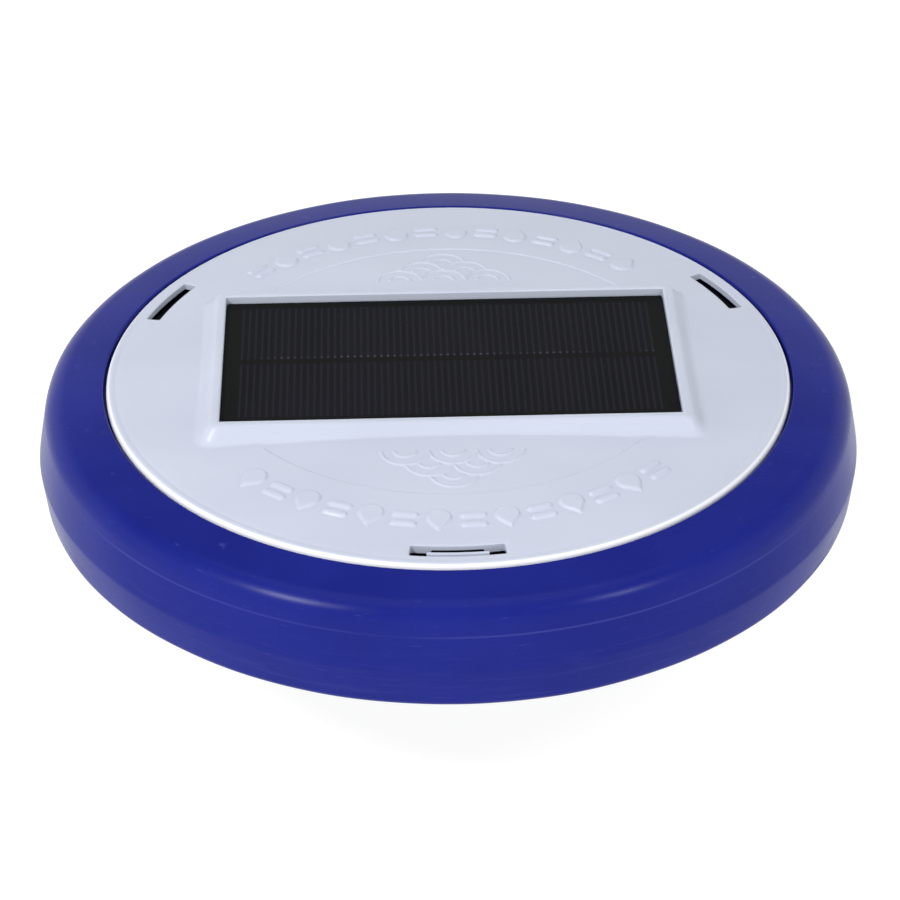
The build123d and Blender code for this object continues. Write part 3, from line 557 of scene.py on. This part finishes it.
def ornament_gap(x, y):
    """Distance outside the raised drops and ripples, negative inside them."""
    radius = np.hypot(x, y)
    turn = np.degrees(np.arctan2(y, x))
    gap = np.full_like(radius, FAR)
    centre = DROP_NOSE - DROP_TIP
    flank = math.asin(DROP_NOSE / (DROP_TIP - centre))
    for middle in (90.0, -90.0):
        for index in range(ORNAMENTS):
            at = middle + ORNAMENT_SPREAD * (index / (ORNAMENTS - 1) - 0.5)
            angle = np.radians((turn - at + 180) % 360 - 180)
            out = radius * np.cos(angle) - ORNAMENT_RADIUS
            side = np.abs(radius * np.sin(angle))
            side = np.where(np.abs(angle) < 0.2, side, FAR)
            if index % 2:
                reach = np.maximum(side - RIPPLE_LENGTH, 0)
                shifts = (-RIPPLE_SHIFT, RIPPLE_SHIFT)
                lines = [np.hypot(out - shift, reach) - RIPPLE_HALF for shift in shifts]
                gap = np.minimum(gap, np.minimum.reduce(lines))
            else:
                ball = np.hypot(out - centre, side) - DROP_NOSE
                cone = (out - DROP_TIP) * math.sin(flank) + side * math.cos(flank)
                in_cone = out > centre + DROP_NOSE * math.sin(flank)
                gap = np.minimum(gap, np.where(in_cone, cone, ball))
    return gap


def wave_gap(x, y):
    """Distance outside the two fans of waves, negative inside their raised lines."""
    y = np.abs(y)
    gap = np.full_like(y, FAR)
    for row in reversed(range(WAVE_ROWS)):
        low = WAVE_DISTANCE + row * WAVE_STEP
        scales = WAVE_ROWS - row
        pitch = 2 * WAVE_RADIUS - WAVE_LINE
        places = [(index - (scales - 1) / 2) * pitch for index in range(scales)]
        reach = np.minimum.reduce([np.hypot(x - place, y - low) for place in places])
        sizes = (WAVE_RADIUS, WAVE_RADIUS / 2)
        rings = [np.abs(reach - size + WAVE_LINE / 2) - WAVE_LINE / 2 for size in sizes]
        gap = np.maximum(gap, WAVE_RADIUS - reach)
        gap = np.maximum(np.minimum(gap, np.minimum(*rings)), low - y)
    return gap


def frame_offset(x, y):
    """How far a point lies outside the panel's pocket."""
    return np.maximum(np.abs(x) - POCKET[0], np.abs(y) - POCKET[1])


def rounded_offset(x, y):
    """The same distance, with corners that round off as it grows."""
    out_x = np.maximum(np.abs(x) - POCKET[0], 0.0)
    out_y = np.maximum(np.abs(y) - POCKET[1], 0.0)
    return (out_x**3 + out_y**3) ** (1 / 3)


def cover_height(x, y):
    """Height of the cover's top surface."""
    radius = np.hypot(x, y)
    outside_field = smoothstep(radius, FIELD_RADIUS - 0.35, FIELD_RADIUS + 0.35)
    height = dome(radius) - FIELD_RECESS * (1 - outside_field)
    height = height + ORNAMENT_RELIEF * smoothstep(-ornament_gap(x, y), -0.15, 0.75)
    height = height + WAVE_RELIEF * smoothstep(-wave_gap(x, y), -0.1, 0.5)
    offset = frame_offset(x, y)
    plinth_low = dome(POCKET[0] + STRIP + SLOPE_RUN) - SKIN
    slope = FRAME_TOP - (rounded_offset(x, y) - STRIP) * (FRAME_TOP - plinth_low) / SLOPE_RUN
    strip = -soft_max(-slope, np.full_like(slope, -FRAME_TOP), 1.6)
    strip = strip - 0.45 * (1 - np.clip(offset / 0.8, 0, 1)) ** 2
    height = np.where(offset < 14.0, soft_max(height, strip, 2.4), height)
    return height - 0.3 * (1 - np.clip(window_gap(x, y) / 0.5, 0, 1)) ** 2


def circle_loop(radius, count):
    angles = np.arange(count) * (2 * math.pi / count)
    return np.stack([radius * np.cos(angles), radius * np.sin(angles)], -1)


def rectangle_loop(offset, step):
    """A rectangle round the pocket, with points a step apart and one in each corner."""
    half_x, half_y = POCKET[0] + offset, POCKET[1] + offset
    corners = [(-half_x, -half_y), (half_x, -half_y), (half_x, half_y), (-half_x, half_y)]
    sides = []
    for start, end in zip(corners, corners[1:] + corners[:1]):
        count = max(2, round(math.dist(start, end) / step))
        share = np.arange(count)[:, None] / count
        sides.append(np.array(start) * (1 - share) + np.array(end) * share)
    return np.concatenate(sides)


def window_loop(window, offset):
    """The outline of a curved window, moved outwards by an offset."""
    angle, half_length = window
    half_w, half_l = WINDOW_HALF + offset, half_length + offset
    corner = WINDOW_CORNER + offset
    outline = []
    for side_r, side_a in ((-1, -1), (1, -1), (1, 1), (-1, 1)):
        for step in range(5):
            turn = step / 4 * math.pi / 2
            across, along = math.cos(turn), math.sin(turn)
            if side_r != side_a:
                across, along = along, across
            across = side_r * (half_w - corner + corner * across)
            along = side_a * (half_l - corner + corner * along)
            outline.append((across, along))
    outline = np.array(outline)
    made = []
    for start, end in zip(outline, np.roll(outline, -1, 0)):
        count = max(1, round(float(np.hypot(*(end - start))) / 0.7))
        share = np.arange(count)[:, None] / count
        made.append(start * (1 - share) + end * share)
    across, along = np.concatenate(made).T
    turn = math.radians(angle) + along / WINDOW_RADIUS
    radius = WINDOW_RADIUS + across
    return np.stack([radius * np.cos(turn), radius * np.sin(turn)], -1), across, along


def triangulate(loops, loose, keep):
    """Triangles that fill a flat region. Each loop's points come back as vertex numbers."""
    points = np.concatenate([*loops, loose])
    edges, first = [], 0
    for loop in loops:
        count = len(loop)
        edges += [(first + i, first + (i + 1) % count) for i in range(count)]
        first += count
    flat = [Vector(p) for p in points.tolist()]
    made, _, faces, origins, _, _ = delaunay_2d_cdt(flat, edges, [], 0, 1e-5, True)
    where = {}
    for number, sources in enumerate(origins):
        for source in sources:
            where[source] = number
    flat = np.array([tuple(p) for p in made])
    faces = np.array(faces)
    middle = flat[faces].mean(1)
    faces = faces[keep(middle[:, 0], middle[:, 1])]
    numbers, first = [], 0
    for loop in loops:
        numbers.append([where[first + i] for i in range(len(loop))])
        first += len(loop)
    return flat, faces.tolist(), numbers


def grid(x_low, x_high, y_low, y_high, step):
    """Points on a square grid, a step apart."""
    across = np.arange(x_low, x_high, step)
    along = np.arange(y_low, y_high, step)
    across, along = np.meshgrid(across, along)
    return np.stack([across.ravel(), along.ravel()], -1)


# Where fine points go: the ornaments' band, the waves and the edge of the round field
BAND_RADII = (96.3, 110.8, 0.45)
BAND_TURNS = (-47.5, 47.5, 0.25)
WAVE_SIDE = 30.0
WAVE_LOW, WAVE_HIGH = 60.2, 86.4
WAVE_MESH = 0.42
FIELD_EDGE = (87.5, 87.65, 87.8, 88.0, 88.2, 88.35, 88.5)
FIELD_SEGMENTS = 900
FINE_CLEAR = 10.5
COARSE_HALF, COARSE_STEP, COARSE_CLEAR = 124.0, 2.6, 11.0
LOOP_STEP = 2.5
UNDER_HALF, UNDER_STEP = 126.0, 6.0
TRAY_WALL = 2.0
TRAY_STEP = 4.0


def relief_points():
    """Points for the cover's top: fine where there is relief, coarse elsewhere."""
    radii = np.arange(*BAND_RADII)
    turns = np.radians(np.arange(*BAND_TURNS))
    fine = []
    for middle in (math.pi / 2, -math.pi / 2):
        r, t = np.meshgrid(radii, turns + middle)
        fine.append(np.stack([(r * np.cos(t)).ravel(), (r * np.sin(t)).ravel()], -1))
    for low, high in ((WAVE_LOW, WAVE_HIGH), (-WAVE_HIGH, -WAVE_LOW)):
        fine.append(grid(-WAVE_SIDE, WAVE_SIDE, low, high, WAVE_MESH))
    fine += [circle_loop(radius, FIELD_SEGMENTS) for radius in FIELD_EDGE]
    fine = np.concatenate(fine)
    fine = fine[frame_offset(*fine.T) > FINE_CLEAR]
    coarse = grid(-COARSE_HALF, COARSE_HALF, -COARSE_HALF, COARSE_HALF, COARSE_STEP)
    x, y = coarse.T
    radius = np.hypot(x, y)
    turn = np.abs(np.abs(np.degrees(np.arctan2(y, x))) - 90)
    wave_middle = (WAVE_LOW + WAVE_HIGH) / 2
    in_band = (np.abs(radius - ORNAMENT_RADIUS) < 8.0) & (turn < 48.5)
    in_wave = (np.abs(x) < WAVE_SIDE + 1.0) & (np.abs(np.abs(y) - wave_middle) < 14.0)
    near = (radius > RIM_START - 1.2) | (window_gap(x, y) < 1.2)
    near = near | (np.abs(radius - FIELD_RADIUS) < 1.2)
    coarse = coarse[~(in_band | in_wave | near) & (frame_offset(x, y) > COARSE_CLEAR)]
    return np.concatenate([fine, coarse])


def rim_profile():
    """Radius and height down the rim: a groove, a rounded edge, the skirt and its foot."""
    top = float(dome(RIM_START))
    profile = [(RIM_START + out, top + up) for out, up in RIM_GROOVE]
    roll = COVER_RADIUS - RIM_START - RIM_FLAT
    for step in range(RIM_STEPS + 1):
        turn = math.pi / 2 * step / RIM_STEPS
        radius = COVER_RADIUS - roll + roll * math.sin(turn)
        profile.append((radius, top + RIM_LIP - RIM_ROUND * (1 - math.cos(turn))))
    profile += [(COVER_RADIUS, LEDGE + 0.2), (COVER_RADIUS - 0.2, LEDGE)]
    return profile + [(COVER_RADIUS - SKIN, LEDGE)]


def build_cover():
    """The cover: its moulded top, three windows, the panel's tray and the rounded rim."""
    rim_loop = circle_loop(RIM_START, RIM_SEGMENTS)
    windows = [window_loop(window, 0.0) for window in WINDOWS]
    window_edges = [edge for edge, _, _ in windows]
    loops = [rim_loop, *window_edges, rectangle_loop(0.0, LOOP_STEP)]
    loops += [window_loop(window, offset)[0] for window in WINDOWS for offset in (0.25, 0.55)]
    offsets = [0.2, 0.5, 0.8, STRIP - 0.8, STRIP - 0.4, STRIP, STRIP + 0.3, STRIP + 0.6]
    offsets += [STRIP + 0.9 + 0.35 * index for index in range(18)]
    loops += [rectangle_loop(offset, LOOP_STEP) for offset in offsets]

    def on_top(x, y):
        return (window_gap(x, y) > 0) & (frame_offset(x, y) > 0)

    flat, faces, numbers = triangulate(loops, relief_points(), on_top)
    points = [np.column_stack([flat, cover_height(*flat.T)])]
    total = len(flat)

    def add_row(row):
        """Adds a row of points and gives their vertex numbers."""
        nonlocal total
        points.append(row)
        total += len(row)
        return list(range(total - len(row), total))

    def wall(loop, lows):
        """Side faces from a loop of the top down to new points at the given heights."""
        low = add_row(np.column_stack([flat[loop], lows]))
        faces.extend(quads(low, loop))
        return low

    rim, window_rims, pocket_rim = numbers[0], numbers[1:4], numbers[4]
    window_lows = []
    for loop, (places, across, along), window in zip(window_rims, windows, WINDOWS):
        depth = np.full(len(loop), SKIN)
        if window == WINDOWS[0]:
            inner = across < -WINDOW_HALF + 0.3
            collar = np.where(np.abs(along) < NOTCH_HALF, NOTCH_DEPTH, COLLAR_DEPTH)
            depth = np.where(inner, collar, SKIN)
        window_lows.append(wall(loop, dome(np.hypot(*places.T)) - depth))
    faces.append(wall(pocket_rim, np.full(len(pocket_rim), TRAY_TOP)))

    last = rim
    direction = rim_loop / RIM_START
    for radius, height in rim_profile():
        ring = add_row(np.column_stack([direction * radius, np.full(RIM_SEGMENTS, height)]))
        faces += quads(ring, last)
        last = ring

    # Underside, with the tray standing down from it
    under_loops = [direction * (COVER_RADIUS - SKIN), *window_edges]
    under_loops += [rectangle_loop(TRAY_WALL + extra, TRAY_STEP) for extra in (0.0, 0.1)]
    spread = grid(-UNDER_HALF, UNDER_HALF, -UNDER_HALF, UNDER_HALF, UNDER_STEP)
    inside = np.hypot(*spread.T) < COVER_RADIUS - 4.0
    clear = (window_gap(*spread.T) > 1.5) & (frame_offset(*spread.T) > 3.5)
    spread = spread[inside & clear]
    under, under_faces, under_numbers = triangulate(
        under_loops, spread, lambda x, y: window_gap(x, y) > 0
    )
    under_height = dome(np.hypot(*under.T)) - SKIN
    under_height = np.where(frame_offset(*under.T) < TRAY_WALL + 0.05, TRAY_LOW, under_height)
    placed = np.concatenate(points)
    for loop, lows in zip(under_numbers[1:4], window_lows):
        under_height[loop] = placed[lows][:, 2]
    faces += [[a + total, c + total, b + total] for a, b, c in under_faces]
    ring = [number + total for number in under_numbers[0]]
    faces += quads(ring, last)
    points.append(np.column_stack([under, under_height]))
    points = np.concatenate(points)
    to_object("moulded_cover", points, faces, "float_head", "top_cover", "cover_plastic")


build_cover()

LATCH_INNER, LATCH_FACE, LATCH_OUTER = 119.6, 121.5, 123.4
LATCH_HALF = 10.9
LATCH_FOOT = -22.0
LATCH_SINK = 0.5
LATCH_CHAMFER = (0.7, 0.8)
# Heights of the latch's shoulder: its underside, its outer edge and where it meets the face
SHOULDER = (-2.6, -1.9, -1.2)
LATCH_STEPS = 24


def build_latch():
    """The latch that shows in the front window, with a chamfered inner edge."""
    half = LATCH_HALF / LATCH_FACE
    top = float(dome(LATCH_FACE)) - LATCH_SINK
    chamfer_out, chamfer_down = LATCH_CHAMFER
    section = rounded(
        [
            (LATCH_INNER, LATCH_FOOT),
            (LATCH_FACE, LATCH_FOOT),
            (LATCH_FACE, SHOULDER[0]),
            (LATCH_OUTER, SHOULDER[0]),
            (LATCH_OUTER, SHOULDER[1]),
            (LATCH_FACE, SHOULDER[2]),
            (LATCH_FACE, top),
            (LATCH_INNER + chamfer_out, top),
            (LATCH_INNER, top - chamfer_down),
        ],
        [0.3, 0.2, 0.1, 0.2, 0.2, 0.1, 0.25, 0.2, 0.2],
        4,
    )
    points = []
    for step in range(LATCH_STEPS + 1):
        turn = -math.pi / 2 + half * (2 * step / LATCH_STEPS - 1)
        points += [(r * math.cos(turn), r * math.sin(turn), z) for r, z in section]
    rows = np.arange(len(points)).reshape(LATCH_STEPS + 1, len(section)).tolist()
    faces = []
    for row, after in zip(rows, rows[1:]):
        faces += quads(after, row)
    faces += [rows[0], rows[-1][::-1]]
    to_object("window_latch", points, faces, "float_head", "cover_latch", "cover_plastic")


build_latch()

PANEL_HALF_X, PANEL_HALF_Y = 84.2, 43.8
PANEL_THICKNESS = 1.4
PANEL_SOFT = 0.35
PANEL_CORNER = 0.6
CORNER_STEPS = 6


def build_panel():
    """The resin-topped panel, with softened edges."""
    low, high, soft = PANEL_HEIGHT - PANEL_THICKNESS, PANEL_HEIGHT, PANEL_SOFT
    levels = [(0.0, low), (0.0, high - soft), (soft * 0.3, high - soft * 0.3)]
    levels += [(soft, high), (soft + 0.2, high)]
    points = []
    for inset, height in levels:
        reach = PANEL_CORNER - inset
        for index, (sx, sy) in enumerate(((1, 1), (-1, 1), (-1, -1), (1, -1))):
            for step in range(CORNER_STEPS + 1):
                turn = math.pi / 2 * (index + step / CORNER_STEPS)
                x = sx * (PANEL_HALF_X - PANEL_CORNER) + reach * math.cos(turn)
                y = sy * (PANEL_HALF_Y - PANEL_CORNER) + reach * math.sin(turn)
                points.append((x, y, height))
    rings = np.arange(len(points)).reshape(len(levels), -1).tolist()
    faces = []
    for ring, above in zip(rings, rings[1:]):
        faces += quads(ring, above)
    faces += [rings[-1], rings[0][::-1]]
    to_object("panel_face", points, faces, "float_head", "panel_laminate", "panel_clear", 20.0)


build_panel()

# ------------------------------------------------------------------ floor and light

FLOOR_HALF = 6.0
FLOOR_GLOW = 0.89
# The world's brightness falls from the first value to the second between these heights
WORLD_HEIGHTS = (0.36, 0.66)
WORLD_BRIGHTNESS = (1.05, 0.14)
LIGHT_TARGET = (0, 0, 0.1)
# Name, place, width, depth and power
LIGHTS = (
    ("key", (-1.0, -0.85, 1.35), 0.32, 0.32, 19.0),
    ("fill", (1.0, -0.85, 1.30), 0.28, 0.28, 7.0),
    ("top", (0.0, 0.1, 1.8), 1.6, 1.2, 6.5),
)


def build_floor():
    """A plain pale table that glows, so that it looks white and shows almost no shadow."""
    mesh = bpy.data.meshes.new("floor")
    corners = [(x * FLOOR_HALF, y * FLOOR_HALF, 0) for x, y in ((-1, -1), (1, -1), (1, 1), (-1, 1))]
    mesh.from_pydata(corners, [], [(0, 1, 2, 3)])
    floor = bpy.data.objects.new("floor", mesh)
    bpy.context.scene.collection.objects.link(floor)
    shade = Shade("floor", Roughness=0.9, Specular_IOR_Level=0.1, Emission_Strength=FLOOR_GLOW)
    shade.shader.inputs["Emission Color"].default_value = (1.0, 1.0, 1.0, 1.0)
    tone = shade.noise(3.0, 2.0)
    mesh.materials.append(shade.paint(shade.blend(tone, (0.25, 0.25, 0.25), (0.26, 0.26, 0.26))))


def area_light(name, place, width, depth, power):
    data = bpy.data.lights.new(name, "AREA")
    data.shape = "RECTANGLE"
    data.size, data.size_y = width, depth
    data.energy = power
    light = bpy.data.objects.new(name, data)
    light.location = place
    light.rotation_mode = "QUATERNION"
    way = Vector(LIGHT_TARGET) - Vector(place)
    light.rotation_quaternion = way.to_track_quat("-Z", "Y")
    bpy.context.scene.collection.objects.link(light)


def build_light():
    """Plain soft studio light: a room that darkens upwards, and three area lights."""
    world = bpy.data.worlds.new("room")
    world.use_nodes = True
    tree = world.node_tree
    background = tree.nodes["Background"]
    background.inputs["Color"].default_value = (1.0, 1.0, 1.0, 1.0)
    way = tree.nodes.new("ShaderNodeTexCoord")
    split = tree.nodes.new("ShaderNodeSeparateXYZ")
    ramp = tree.nodes.new("ShaderNodeMapRange")
    for socket, value in zip(ramp.inputs[1:5], (*WORLD_HEIGHTS, *WORLD_BRIGHTNESS)):
        socket.default_value = value
    tree.links.new(way.outputs["Generated"], split.inputs[0])
    tree.links.new(split.outputs["Z"], ramp.inputs["Value"])
    tree.links.new(ramp.outputs[0], background.inputs["Strength"])
    bpy.context.scene.world = world
    for light in LIGHTS:
        area_light(*light)


build_floor()
build_light()
bpy.context.scene.view_settings.view_transform = "Standard"
